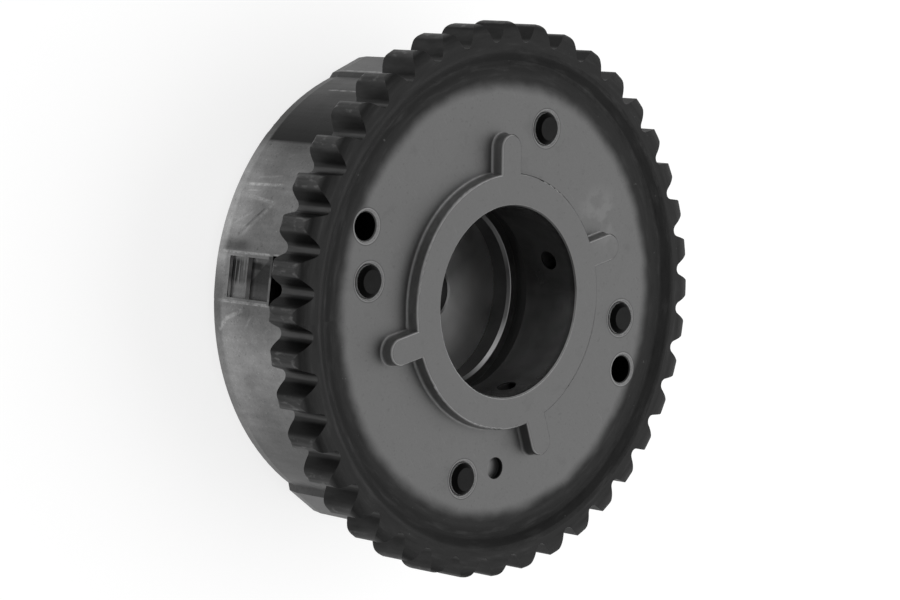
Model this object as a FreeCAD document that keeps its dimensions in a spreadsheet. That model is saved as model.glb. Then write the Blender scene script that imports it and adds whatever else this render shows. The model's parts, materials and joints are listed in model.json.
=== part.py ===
import FreeCAD, Part
import math
import os
import re
import Sketcher
from FreeCAD import Matrix, Rotation, Vector

# Cam phaser: a chain sprocket plate bolted to a vane housing, with a rotor that turns inside it.
# Millimetres and degrees. The axis is +Z, the sprocket face looks up, and the origin is on the
# axis in the plane of the bolt heads that the part rests on.

# Driving dimensions
SIZES = {
    # Toothed rim
    "tooth_count": 40,
    "tip_radius": 52.35,
    "tooth_depth": 3.87,
    "gap_floor_radius": 1.25,
    "flank_angle": 29.0,
    "tip_round": 2.0,
    "tip_round_rise": 0.03,
    "tip_bevel_width": 1.85,
    "tip_bevel_drop": 0.75,
    "crown_round": 4.0,
    "crown_edge": 1.4,
    "first_gap_angle": 2.63,
    "rim_width": 8.6,
    # Face of the sprocket plate
    "dish_margin": 1.58,
    "dish_slope": 2.2,
    "dish_depth": 1.4,
    "dish_round": 1.6,
    "journal_radius": 18.0,
    "journal_bevel": 0.25,
    "collar_wall": 6.1,
    "collar_height": 2.7,
    "neck_step": 0.5,
    "neck_height": 3.2,
    "ear_width": 5.2,
    "ear_length": 7.3,
    "ear_angle_1": 18.4,
    "ear_angle_2": 88.6,
    "ear_angle_3": 194.6,
    "ear_angle_4": 287.5,
    "ear_lean_1": -7.0,
    "ear_lean_2": 0.6,
    "ear_lean_3": -4.0,
    "ear_lean_4": 0.0,
    "top_round": 0.45,
    "foot_round": 0.5,
    # Oil passages in the plate
    "passage_radius": 1.9,
    "passage_height": 6.9,
    "port_setback": 2.6,
    # Bolts
    "bolt_inset": 0.5,
    "bolt_angle_1": 68.4,
    "bolt_angle_2": 169.2,
    "bolt_angle_3": 253.4,
    "bolt_angle_4": 349.4,
    "bolt_radius": 3.0,
    "bolt_slack": 0.3,
    "bolt_head_radius": 5.0,
    "bolt_flange_radius": 5.9,
    "bolt_flange_height": 1.2,
    "bolt_head_height": 3.5,
    "bolt_head_bevel": 0.5,
    "bolt_proud": 0.85,
    "bolt_point_bevel": 0.8,
    "socket_radius": 2.3,
    "socket_depth": 2.1,
    "socket_lobe_radius": 0.62,
    "tapped_hole_bevel": 0.6,
    # Dowel pins and the small hole in the face
    "dowel_setback": 6.05,
    "dowel_angle": 154.3,
    "dowel_radius": 2.6,
    "dowel_length": 12.0,
    "dowel_rise": 3.6,
    "dowel_hole_bevel": 0.5,
    "mark_hole_radius": 2.08,
    "mark_hole_depth": 1.6,
    "mark_hole_inset": 2.4,
    "mark_hole_angle": 267.8,
    # Housing
    "housing_step": 8.45,
    "housing_wall": 5.4,
    "lip_length": 2.6,
    "lip_drop": 0.35,
    "lip_round": 0.5,
    "chamber_depth": 18.2,
    "lobe_from_1": 58.5,
    "lobe_from_2": 147.5,
    "lobe_from_3": 243.5,
    "lobe_from_4": 327.0,
    "lobe_span_1": 33.5,
    "lobe_span_2": 50.0,
    "lobe_span_3": 47.5,
    "lobe_span_4": 54.0,
    "scallop_radius": 2.8,
    # Slot in the housing's outside
    "slot_angle": 172.2,
    "slot_width": 9.2,
    "slot_depth": 0.55,
    "pocket_width": 7.7,
    "pocket_front_depth": 2.3,
    "pocket_front_length": 6.9,
    "pocket_rear_depth": 1.3,
    "pocket_rear_length": 4.25,
    "notch_length": 5.7,
    "notch_depth": 4.4,
    "notch_wall": 0.55,
    # Pads on the housing's outside
    "pad_height_1": 0.6,
    "pad_height_2": 1.7,
    "pad_angle_1": 86.3,
    "pad_angle_2": 253.4,
    "pad_flat_half_1": 12.3,
    "pad_flat_half_2": 8.0,
    "pad_half_1": 23.0,
    "pad_half_2": 19.2,
    "pad_slope_1": 24.7,
    "pad_slope_2": 21.2,
    "pad_end_slope": 1.4,
    # Cover
    "cover_thickness": 3.0,
    "cover_setback": 2.6,
    "cover_fit": 0.05,
    "cover_edge": 0.4,
    "vent_radius": 1.5,
    # Rotor
    "hub_wall": 5.5,
    "hub_gap": 0.3,
    "vane_gap": 0.3,
    "face_gap": 0.05,
    "swing_angle": 22.5,
    "stop_gap": 0.15,
    "free_gap": 0.6,
    "relief_step": 1.5,
    "relief_depth": 4.15,
    "spigot_step": 0.6,
    "spigot_bevel": 0.6,
    "socket_floor": 8.35,
    "centre_hole_radius": 5.1,
    "centre_hole_bevel": 0.3,
    "nose_step": 2.8,
    "nose_gap": 0.3,
    "nose_recess": 0.3,
    "feed_width": 3.4,
    "feed_depth": 1.3,
    "feed_offset": 4.6,
    # Seals and their leaf springs
    "seal_width": 1.9,
    "seal_height": 2.4,
    "seal_gap": 0.06,
    "seal_slot_gap": 0.04,
    "seal_end_gap": 0.15,
    "leaf_room": 0.75,
    "leaf_thickness": 0.25,
    "leaf_length": 14.0,
    "leaf_slack": 0.02,
    "vane_seal_offset": 7.0,
    # Lock pin
    "pin_cover": 1.85,
    "pin_offset": 20.0,
    "pin_radius": 4.0,
    "pin_length": 12.5,
    "pin_travel": 3.0,
    "pin_wall": 1.4,
    "pin_crown": 3.5,
    "pin_point_bevel": 0.5,
    "pin_fit": 0.05,
    "sleeve_wall": 1.1,
    "seat_end_gap": 0.6,
    "seat_wall": 1.3,
    "seat_slack": 0.15,
    "cap_height": 1.4,
    "cap_stem_radius": 1.3,
    "cap_stem_height": 2.0,
    "spring_wire": 0.6,
    "spring_turns": 7,
    "spring_side_gap": 0.15,
}
POSITIONS = (1, 2, 3, 4)

doc = FreeCAD.newDocument("cam_phaser")
sheet = doc.addObject("Spreadsheet::Sheet", "Sizes")
for row, (alias, number) in enumerate(SIZES.items(), start=1):
    sheet.set(f"A{row}", str(number))
    sheet.setAlias(f"A{row}", alias)
doc.recompute()


def size(alias):
    """The number in the named cell."""
    return float(sheet.get(alias))


def bound(text):
    """The text with each size's name as a cell of the sheet."""
    return re.sub(r"[a-z]\w*", lambda m: f"Sizes.{m[0]}" if m[0] in SIZES else m[0], text)


# Heights and radii that several pieces share, as expressions
COVER_FACE = "bolt_head_height"
CHAMBER_FLOOR = "(bolt_head_height + cover_thickness)"
PLATE_REAR = f"({CHAMBER_FLOOR} + chamber_depth)"
RIM_REAR = f"({PLATE_REAR} + neck_height)"
RIM_FRONT = f"({RIM_REAR} + rim_width)"
DISH_FACE = f"({RIM_FRONT} - dish_depth)"
COLLAR_TOP = f"({DISH_FACE} + collar_height)"
PASSAGE_LEVEL = f"({PLATE_REAR} + passage_height)"
ROTOR_REAR = f"({CHAMBER_FLOOR} + face_gap)"
ROTOR_FRONT = f"({PLATE_REAR} - face_gap)"
ROTOR_HEIGHT = "(chamber_depth - 2 * face_gap)"
HOUSING_DEPTH = "(chamber_depth + cover_thickness)"
# Radii that hang on the tooth tips, from the outside in
ROOT_RADIUS = "(tip_radius - tooth_depth)"
DISH_OUTER = f"({ROOT_RADIUS} - dish_margin)"
DISH_INNER = f"({DISH_OUTER} - dish_slope)"
HOUSING_RADIUS = "(tip_radius - housing_step)"
NECK_RADIUS = f"({HOUSING_RADIUS} - neck_step)"
COVER_RADIUS = f"({HOUSING_RADIUS} - cover_setback)"
CHAMBER_RADIUS = f"({HOUSING_RADIUS} - housing_wall)"
DOWEL_CIRCLE = f"({HOUSING_RADIUS} - dowel_setback)"
VANE_RADIUS = f"({CHAMBER_RADIUS} - vane_gap)"
VANE_SLOT_FLOOR = f"({CHAMBER_RADIUS} - seal_gap - seal_height - leaf_room)"
# Radii that hang on the camshaft, from the inside out
SPIGOT_RADIUS = "(journal_radius - spigot_step)"
NOSE_RADIUS = f"({SPIGOT_RADIUS} - nose_step)"
COLLAR_RADIUS = "(journal_radius + collar_wall)"
RELIEF_RADIUS = "(journal_radius + relief_step)"
HUB_RADIUS = f"({RELIEF_RADIUS} + hub_wall)"
LOBE_RADIUS = f"({HUB_RADIUS} + hub_gap)"
LOBE_SLOT_FLOOR = f"({HUB_RADIUS} + seal_gap + seal_height + leaf_room)"
# Bolts, midway through the lobes but for the inset
BOLT_CIRCLE = f"(({LOBE_RADIUS} + {HOUSING_RADIUS}) / 2 - bolt_inset)"
MARK_CIRCLE = f"({BOLT_CIRCLE} - mark_hole_inset)"
BOLT_WAY = "(bolt_radius + bolt_slack)"
# The lock pin, its sleeve, its cap and its seat
PIN_ANGLE = "(lobe_from_1 + lobe_span_1 + stop_gap + pin_offset)"
PIN_REAR = f"({ROTOR_FRONT} - pin_length)"
PIN_ROOF = f"({ROTOR_FRONT} - pin_crown)"
PIN_BORE = "(pin_radius - pin_wall)"
SLEEVE_RADIUS = "(pin_radius + pin_fit + sleeve_wall)"
PIN_CIRCLE = f"({VANE_RADIUS} - {SLEEVE_RADIUS} - pin_cover)"
SEAT_BORE = "(pin_radius + seat_slack)"
SEAT_RADIUS = f"({SEAT_BORE} + seat_wall)"
SEAT_DEPTH = "(pin_travel + seat_end_gap)"
CAP_TOP = f"({ROTOR_REAR} + cap_height)"
# A cut runs this far past the face that it opens
PAST = 1.0
# A turned outline starts as a round polygon of this size, clear of the axis, and its sizes pull it in
START_PLACE = 100
START_RADIUS = 50


# Building blocks
def shape_of(kind, name, dims, x="0", y="0", z="0", turn="0"):
    """A Part primitive whose sizes and place are bound to the sheet."""
    thing = doc.addObject(kind, name)
    for dim, text in dims.items():
        thing.setExpression(dim, bound(text))
    for axis, text in (("x", x), ("y", y), ("z", z)):
        thing.setExpression(f"Placement.Base.{axis}", bound(text))
    thing.setExpression("Placement.Rotation.Angle", bound(turn))
    return thing


def cylinder(name, radius, height, z, circle="0", angle="0"):
    """An upright cylinder, its centre on a circle about the axis."""
    return shape_of("Part::Cylinder", name, {"Radius": radius, "Height": height},
                    f"({circle}) * cos({angle})", f"({circle}) * sin({angle})", z)


def cone(name, low_radius, high_radius, height, z, circle="0", angle="0"):
    """An upright cone, its centre on a circle about the axis."""
    return shape_of("Part::Cone", name, {"Radius1": low_radius, "Radius2": high_radius, "Height": height},
                    f"({circle}) * cos({angle})", f"({circle}) * sin({angle})", z)


def sector(name, radius, height, z, start, span):
    """A slice of a disc about the axis."""
    return shape_of("Part::Cylinder", name, {"Radius": radius, "Height": height, "Angle": span},
                    z=z, turn=start)


def radial_box(name, inner, outer, width, z, height, angle):
    """A box that runs outwards from the axis, centred on its angle."""
    dims = {"Length": f"({outer}) - ({inner})", "Width": width, "Height": height}
    return shape_of("Part::Box", name, dims, f"({inner}) * cos({angle}) + ({width}) / 2 * sin({angle})",
                    f"({inner}) * sin({angle}) - ({width}) / 2 * cos({angle})", z, angle)


def joined(name, *pieces):
    """Several solids as one."""
    whole = doc.addObject("Part::MultiFuse", name)
    whole.Shapes = list(pieces)
    return whole


def without(name, base, *tools):
    """A solid less the tools."""
    tool = tools[0] if len(tools) == 1 else joined(f"{name}_tools", *tools)
    rest = doc.addObject("Part::Cut", name)
    rest.Base = base
    rest.Tool = tool
    return rest


def feature(name, shape):
    """A shape worked out in code from the sheet's sizes."""
    thing = doc.addObject("Part::Feature", name)
    thing.Shape = shape
    return thing


def turned(name, outline):
    """A body turned about the axis from an outline of (radius, height) expressions."""
    body = doc.addObject("PartDesign::Body", name)
    sketch = body.newObject("Sketcher::SketchObject", f"{name}_outline")
    sketch.AttachmentSupport = [(origin_feature(body, "XZ_Plane"), "")]
    sketch.MapMode = "FlatFace"
    count = len(outline)
    step = 2 * math.pi / count
    start = [Vector(START_PLACE - START_RADIUS * math.cos(k * step), START_RADIUS * math.sin(k * step), 0)
             for k in range(count)]
    sketch.addGeometry([Part.LineSegment(start[k], start[(k + 1) % count]) for k in range(count)])
    for k in range(count):
        sketch.addConstraint(Sketcher.Constraint("Coincident", k, 2, (k + 1) % count, 1))
    for k, (radius, height) in enumerate(outline):
        for way, text, now in (("DistanceX", radius, start[k].x), ("DistanceY", height, start[k].y)):
            number = sketch.addConstraint(Sketcher.Constraint(way, -1, 1, k, 1, now))
            sketch.setExpression(f"Constraints[{number}]", bound(text))
    turn = body.newObject("PartDesign::Revolution", f"{name}_turn")
    turn.Profile = sketch
    turn.ReferenceAxis = (sketch, ["V_Axis"])
    turn.Angle = 360
    doc.recompute()
    return body


def softened(body, radius, rings):
    """A fillet on a turned body's circles at these (radius, height) expressions."""
    places = [(value(ring), value(height)) for ring, height in rings]
    solid = body.Tip
    names = [f"Edge{number}" for number, edge in enumerate(solid.Shape.Edges, start=1)
             if any(level(edge, height) and abs(farthest(edge) - ring) < 1e-3 for ring, height in places)]
    fillet = body.newObject("PartDesign::Fillet", f"{body.Name}_{radius}")
    fillet.Base = (solid, names)
    fillet.setExpression("Radius", bound(radius))
    doc.recompute()


def origin_feature(body, role):
    """The origin plane or axis of a body with this role."""
    return next(thing for thing in body.Origin.OriginFeatures if thing.Role == role)


def value(text):
    """The number that an expression gives."""
    probe = doc.addObject("Part::Vertex", "probe")
    probe.setExpression("X", bound(text))
    probe.recompute()
    number = float(probe.X)
    doc.removeObject(probe.Name)
    return number


def rounded(name, base, radius, wanted):
    """A fillet on the edges of the base that the test picks."""
    doc.recompute()
    edges = [number for number, edge in enumerate(base.Shape.Edges, start=1) if wanted(edge)]
    result = doc.addObject("Part::Fillet", name)
    result.Base = base
    result.Edges = [(number, radius, radius) for number in edges]
    return result


def level(edge, height):
    """Whether an edge lies in the plane at this height."""
    box = edge.BoundBox
    return abs(box.ZMin - height) < 1e-4 and abs(box.ZMax - height) < 1e-4


def farthest(edge):
    """The largest distance of an edge from the axis."""
    return max(math.hypot(point.x, point.y) for point in edge.discretize(9))


def nearest(edge):
    """The smallest distance of an edge from the axis."""
    return min(math.hypot(point.x, point.y) for point in edge.discretize(9))


def polar(radius, angle, height=0.0):
    """The point at this radius and angle about the axis."""
    turn = math.radians(angle)
    return Vector(radius * math.cos(turn), radius * math.sin(turn), height)


# Sprocket plate
def gap_outline():
    """The outline of one tooth gap about +X: round floor, straight flanks, rounded tooth corners."""
    root, tip = value(ROOT_RADIUS), size("tip_radius")
    floor, corner = size("gap_floor_radius"), size("tip_round")
    lean = math.radians(size("flank_angle"))
    centre = Vector(root + floor, 0, 0)
    normal = Vector(-math.sin(lean), math.cos(lean), 0)
    along = Vector(math.cos(lean), math.sin(lean), 0)
    foot = centre + normal * floor
    # The corner's centre is a corner radius off the flank, and its arc runs just past the tip circle
    base = centre + normal * (floor + corner)
    reach = base.dot(along)
    crest = tip + size("tip_round_rise") - corner
    far = -reach + math.sqrt(reach ** 2 + crest ** 2 - base.Length ** 2)
    corner_centre = base + along * far
    shoulder = corner_centre - normal * corner
    land = corner_centre + Vector(corner, 0, 0)
    middle = (shoulder + land) / 2 - corner_centre
    bend = corner_centre + middle * (corner / middle.Length)
    outside = Vector(tip + PAST, land.y, 0)

    def mirrored(point):
        return Vector(point.x, -point.y, 0)

    return [
        Part.Arc(mirrored(foot), Vector(root, 0, 0), foot),
        Part.LineSegment(foot, shoulder),
        Part.Arc(shoulder, bend, land),
        Part.LineSegment(land, outside),
        Part.LineSegment(outside, mirrored(outside)),
        Part.LineSegment(mirrored(outside), mirrored(land)),
        Part.Arc(mirrored(land), mirrored(bend), mirrored(shoulder)),
        Part.LineSegment(mirrored(shoulder), mirrored(foot)),
    ]


def toothed_blank():
    """The turned plate with its tooth gaps cut round the rim, its seam in the middle of a tooth."""
    body = turned("plate_blank", [
        ("journal_radius", PLATE_REAR),
        (NECK_RADIUS, PLATE_REAR),
        (NECK_RADIUS, RIM_REAR),
        ("tip_radius - tip_bevel_width", RIM_REAR),
        ("tip_radius", f"{RIM_REAR} + tip_bevel_drop"),
        ("tip_radius", f"{RIM_FRONT} - tip_bevel_drop"),
        ("tip_radius - tip_bevel_width", RIM_FRONT),
        (DISH_OUTER, RIM_FRONT),
        (DISH_INNER, DISH_FACE),
        (COLLAR_RADIUS, DISH_FACE),
        (COLLAR_RADIUS, COLLAR_TOP),
        ("journal_radius + journal_bevel", COLLAR_TOP),
        ("journal_radius", f"{COLLAR_TOP} - journal_bevel"),
    ])
    softened(body, "dish_round", [(DISH_OUTER, RIM_FRONT), (DISH_INNER, DISH_FACE)])
    softened(body, "crown_round", [("tip_radius - tip_bevel_width", RIM_FRONT),
                                   ("tip_radius - tip_bevel_width", RIM_REAR)])
    softened(body, "crown_edge", [("tip_radius", f"{RIM_FRONT} - tip_bevel_drop"),
                                  ("tip_radius", f"{RIM_REAR} + tip_bevel_drop")])
    sketch = body.newObject("Sketcher::SketchObject", "gap_outline")
    sketch.AttachmentSupport = [(origin_feature(body, "XY_Plane"), "")]
    sketch.MapMode = "FlatFace"
    turn = Matrix()
    turn.rotateZ(math.pi / size("tooth_count"))
    lines = gap_outline()
    for line in lines:
        line.transform(turn)
    sketch.addGeometry(lines)
    sketch.addConstraint([Sketcher.Constraint("Block", k) for k in range(len(lines))])
    gap = body.newObject("PartDesign::Pocket", "gap")
    gap.Profile = sketch
    gap.Type = "ThroughAll"
    gap.Reversed = True
    doc.recompute()
    gaps = body.newObject("PartDesign::PolarPattern", "gaps")
    gaps.Originals = [gap]
    gaps.Axis = (origin_feature(body, "Z_Axis"), [""])
    gaps.Angle = 360
    gaps.setExpression("Occurrences", bound("tooth_count"))
    body.Tip = gaps
    body.setExpression("Placement.Rotation.Angle", bound("first_gap_angle - 180 / tooth_count"))
    doc.recompute()
    return body


def ear(number):
    """A rounded rib that stands out from the collar over an oil passage."""
    angle, lean = f"ear_angle_{number}", f"ear_lean_{number}"
    inset = "ear_width / 2"
    reach = f"(ear_length - {inset})"
    start = f"({COLLAR_RADIUS} - ear_width / 2)"
    way = f"({angle} + {lean})"
    foot_x = f"{start} * cos({angle})"
    foot_y = f"{start} * sin({angle})"
    run = f"({inset} + {reach})"
    height = f"{COLLAR_TOP} - {DISH_FACE} + foot_round"
    rib = shape_of("Part::Box", f"ear_rib_{number}", {"Length": run, "Width": "ear_width", "Height": height},
                   f"{foot_x} + ear_width / 2 * sin({way})", f"{foot_y} - ear_width / 2 * cos({way})",
                   f"{DISH_FACE} - foot_round", way)
    end = shape_of("Part::Cylinder", f"ear_end_{number}", {"Radius": "ear_width / 2", "Height": height},
                   f"{foot_x} + {run} * cos({way})", f"{foot_y} + {run} * sin({way})",
                   f"{DISH_FACE} - foot_round")
    return [rib, end]


def ear_point(number, setback):
    """Expressions for the point this far short of an ear's tip, on its centre line."""
    angle, way = f"ear_angle_{number}", f"(ear_angle_{number} + ear_lean_{number})"
    start = f"({COLLAR_RADIUS} - ear_width / 2)"
    run = f"(ear_width / 2 + ear_length - {setback})"
    return f"{start} * cos({angle}) + {run} * cos({way})", f"{start} * sin({angle}) + {run} * sin({way})"


def oil_passage(number):
    """A drilling from the bore along an ear, and a port from the chamber that meets it."""
    x, y = ear_point(number, "port_setback")
    port = shape_of("Part::Cylinder", f"port_{number}",
                    {"Radius": "passage_radius", "Height": f"{PASSAGE_LEVEL} - {PLATE_REAR} + {PAST}"},
                    x, y, f"{PLATE_REAR} - {PAST}")
    tip = Vector(value(x), value(y), value(PASSAGE_LEVEL))
    inwards = -polar(1, size(f"ear_angle_{number}") + size(f"ear_lean_{number}"))
    drill = Part.makeCylinder(size("passage_radius"), value(COLLAR_RADIUS), tip, inwards)
    return [port, feature(f"passage_{number}", drill)]


def sprocket_plate():
    """The driven plate: toothed rim, dished face, collar with ears, threads and passages."""
    ears = [piece for number in POSITIONS for piece in ear(number)]
    raw = joined("plate_with_ears", toothed_blank(), *ears)
    bore = cylinder("plate_bore", "journal_radius", f"{COLLAR_TOP} + {PAST}", "0")
    clear = without("plate_bored", raw, bore)
    top, foot = value(COLLAR_TOP), value(DISH_FACE)
    mouth = size("journal_radius") + 2 * size("journal_bevel")
    outer = value(COLLAR_RADIUS) + size("ear_length") + PAST

    def on_top(edge):
        return level(edge, top) and farthest(edge) > mouth

    def at_foot(edge):
        return level(edge, foot) and farthest(edge) < outer and nearest(edge) > mouth

    soft = rounded("plate_rounded", clear, size("top_round"), on_top)
    soft = rounded("plate_filleted", soft, size("foot_round"), at_foot)
    cuts = []
    for number in POSITIONS:
        angle = f"bolt_angle_{number}"
        cuts.append(cylinder(f"tapped_hole_{number}", "bolt_radius", f"{DISH_FACE} + {PAST}", "0",
                             BOLT_CIRCLE, angle))
        cuts.append(cone(f"tapped_mouth_{number}", "bolt_radius", "bolt_radius + tapped_hole_bevel",
                         "tapped_hole_bevel", f"{DISH_FACE} - tapped_hole_bevel", BOLT_CIRCLE, angle))
        cuts += oil_passage(number)
    for number, angle in ((1, "dowel_angle"), (2, "(dowel_angle + 180)")):
        cuts.append(cylinder(f"dowel_hole_{number}", "dowel_radius", f"{DISH_FACE} + {PAST}", "0",
                             DOWEL_CIRCLE, angle))
        cuts.append(cone(f"dowel_mouth_{number}", "dowel_radius", "dowel_radius + dowel_hole_bevel",
                         "dowel_hole_bevel", f"{DISH_FACE} - dowel_hole_bevel", DOWEL_CIRCLE, angle))
    cuts.append(cylinder("mark_hole", "mark_hole_radius", f"mark_hole_depth + {PAST}",
                         f"{DISH_FACE} - mark_hole_depth", MARK_CIRCLE, "mark_hole_angle"))
    cuts.append(cylinder("seat_pocket", SEAT_RADIUS, f"{SEAT_DEPTH} + {PAST}", f"{PLATE_REAR} - {PAST}",
                         PIN_CIRCLE, PIN_ANGLE))
    return without("plate", soft, *cuts)


# Housing
def pad_points(number):
    """The corners of a raised pad's outline: a flat top between two sloping flats."""
    middle, flat = size(f"pad_angle_{number}"), size(f"pad_flat_half_{number}")
    half, slope = size(f"pad_half_{number}"), size(f"pad_slope_{number}")
    corner = (value(HOUSING_RADIUS) + size(f"pad_height_{number}")) / math.cos(math.radians(flat))
    end = half - size("pad_end_slope")
    shoulder = corner * math.cos(math.radians(slope - flat)) / math.cos(math.radians(slope - end))
    foot = value(HOUSING_RADIUS)
    rise = [(foot, -half), (shoulder, -end), (corner, -flat)]
    fall = [(radius, -angle) for radius, angle in reversed(rise)]
    return [polar(radius, middle + angle) for radius, angle in rise + fall]


def housing_outline():
    """The closed outline of the housing's outside, two pads joined by round walls."""
    pads = [pad_points(1), pad_points(2)]
    edges = []
    for number, (points, following) in enumerate(zip(pads, pads[::-1]), start=1):
        edges += [Part.LineSegment(first, second).toShape() for first, second in zip(points, points[1:])]
        other = 3 - number
        leave = size(f"pad_angle_{number}") + size(f"pad_half_{number}")
        reach = size(f"pad_angle_{other}") - size(f"pad_half_{other}")
        full_turn = 360 if other == 1 else 0
        bend = polar(value(HOUSING_RADIUS), (leave + reach + full_turn) / 2)
        edges.append(Part.Arc(points[-1], bend, following[0]).toShape())
    return Part.Wire(edges)


def lobe(number):
    """A lobe between two chambers, which a bolt passes through."""
    return sector(f"lobe_{number}", f"({CHAMBER_RADIUS} + {HOUSING_RADIUS}) / 2", HOUSING_DEPTH, COVER_FACE,
                  f"lobe_from_{number}", f"lobe_span_{number}")


def outer_wall():
    """The housing's outside: a straight wall, then a lip that narrows to the rounded far edge."""
    low = value(COVER_FACE)
    outline = housing_outline()
    outline.translate(Vector(0, 0, low))
    wall = feature("housing_wall", Part.Face(outline).extrude(Vector(0, 0, value(PLATE_REAR) - low)))
    lip = doc.addObject("Part::Chamfer", "housing_lip")
    lip.Base = wall
    lip.Edges = [(number, size("lip_length"), size("lip_drop"))
                 for number, edge in enumerate(wall.Shape.Edges, start=1) if level(edge, low)]
    return rounded("housing_outside", lip, size("lip_round"), lambda edge: level(edge, low))


def slot_cuts():
    """The slot down the outside, its stepped pocket and the deep notch at its front end."""
    past = f"{HOUSING_RADIUS} + {PAST}"
    notch_floor = f"({PLATE_REAR} - notch_length)"
    front_top = f"({notch_floor} - notch_wall)"
    rear_top = f"({front_top} - pocket_front_length)"
    angle = "slot_angle"
    slot = radial_box("slot", f"{HOUSING_RADIUS} - slot_depth", past, "slot_width",
                      f"{COVER_FACE} - {PAST}", f"{HOUSING_DEPTH} + 2 * {PAST}", angle)
    notch = radial_box("notch", f"{HOUSING_RADIUS} - notch_depth", past, "slot_width",
                       notch_floor, f"notch_length + {PAST}", angle)
    front = radial_box("pocket_front", f"{HOUSING_RADIUS} - pocket_front_depth", past, "pocket_width",
                       rear_top, "pocket_front_length", angle)
    rear = radial_box("pocket_rear", f"{HOUSING_RADIUS} - pocket_rear_depth", past, "pocket_width",
                      f"{rear_top} - pocket_rear_length", "pocket_rear_length", angle)
    return [slot, notch, front, rear]


def seal_slot(name, inner, outer, angle):
    """A slot for a seal strip and its leaf spring."""
    return radial_box(name, inner, outer, "seal_width + 2 * seal_slot_gap", f"{CHAMBER_FLOOR} - {PAST}",
                      f"chamber_depth + 2 * {PAST}", angle)


def lobe_seal_angle(number):
    return f"(lobe_from_{number} + lobe_span_{number} / 2)"


def stator_housing():
    """The ring round the chambers, with four lobes that reach in to the hub."""
    hollow = without("chamber_hollow",
                     cylinder("chamber_space", CHAMBER_RADIUS, f"{HOUSING_DEPTH} + 2 * {PAST}",
                              f"{COVER_FACE} - {PAST}"),
                     *[lobe(number) for number in POSITIONS])
    cuts = [hollow]
    cuts.append(cylinder("hub_space", LOBE_RADIUS, f"{HOUSING_DEPTH} + 2 * {PAST}",
                         f"{COVER_FACE} - {PAST}"))
    cuts.append(cylinder("cover_recess", f"{COVER_RADIUS} + cover_fit", f"cover_thickness + {PAST}",
                         f"{COVER_FACE} - {PAST}"))
    for number in POSITIONS:
        cuts.append(cylinder(f"bolt_way_{number}", BOLT_WAY, f"{PLATE_REAR} + {PAST}", "0", BOLT_CIRCLE,
                             f"bolt_angle_{number}"))
        x, y = ear_point(number, "port_setback")
        cuts.append(shape_of("Part::Cylinder", f"scallop_{number}",
                             {"Radius": "scallop_radius", "Height": f"chamber_depth + 2 * {PAST}"},
                             x, y, f"{CHAMBER_FLOOR} - {PAST}"))
        inner = f"{LOBE_RADIUS} - {PAST}"
        cuts.append(seal_slot(f"lobe_slot_{number}", inner, LOBE_SLOT_FLOOR, lobe_seal_angle(number)))
    for number, angle in ((1, "dowel_angle"), (2, "(dowel_angle + 180)")):
        cuts.append(cylinder(f"dowel_seat_{number}", "dowel_radius", f"dowel_length - dowel_rise + {PAST}",
                             f"{PLATE_REAR} - dowel_length + dowel_rise", DOWEL_CIRCLE, angle))
    return without("housing", outer_wall(), *cuts, *slot_cuts())


# Cover
def cover_plate():
    """The flat plate that closes the far side of the chambers."""
    disc = turned("cover_disc", [
        (f"{NOSE_RADIUS} + nose_gap", COVER_FACE),
        (f"{COVER_RADIUS} - cover_edge", COVER_FACE),
        (COVER_RADIUS, f"{COVER_FACE} + cover_edge"),
        (COVER_RADIUS, CHAMBER_FLOOR),
        (f"{NOSE_RADIUS} + nose_gap", CHAMBER_FLOOR),
    ])
    through = f"{CHAMBER_FLOOR} + {PAST}"
    cuts = [cylinder(f"bolt_hole_{number}", BOLT_WAY, through, "0", BOLT_CIRCLE, f"bolt_angle_{number}")
            for number in POSITIONS]
    cuts.append(cylinder("vent_hole", "vent_radius", through, "0", PIN_CIRCLE, PIN_ANGLE))
    return without("cover", disc, *cuts)


# Rotor
def vane_start(number):
    gap = "stop_gap" if number == 1 else "free_gap"
    return f"(lobe_from_{number} + lobe_span_{number} + {gap})"


def vane_span(number):
    following = number % 4 + 1
    full_turn = " + 360" if following == 1 else ""
    gap = "stop_gap" if number == 1 else "free_gap"
    return (f"(lobe_from_{following}{full_turn} - lobe_from_{number} - lobe_span_{number}"
            f" - swing_angle - 2 * {gap})")


def vane_seal_angle(number):
    if number == 1:
        return f"({vane_start(1)} + vane_seal_offset)"
    return f"({vane_start(number)} + {vane_span(number)} / 2)"


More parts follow.
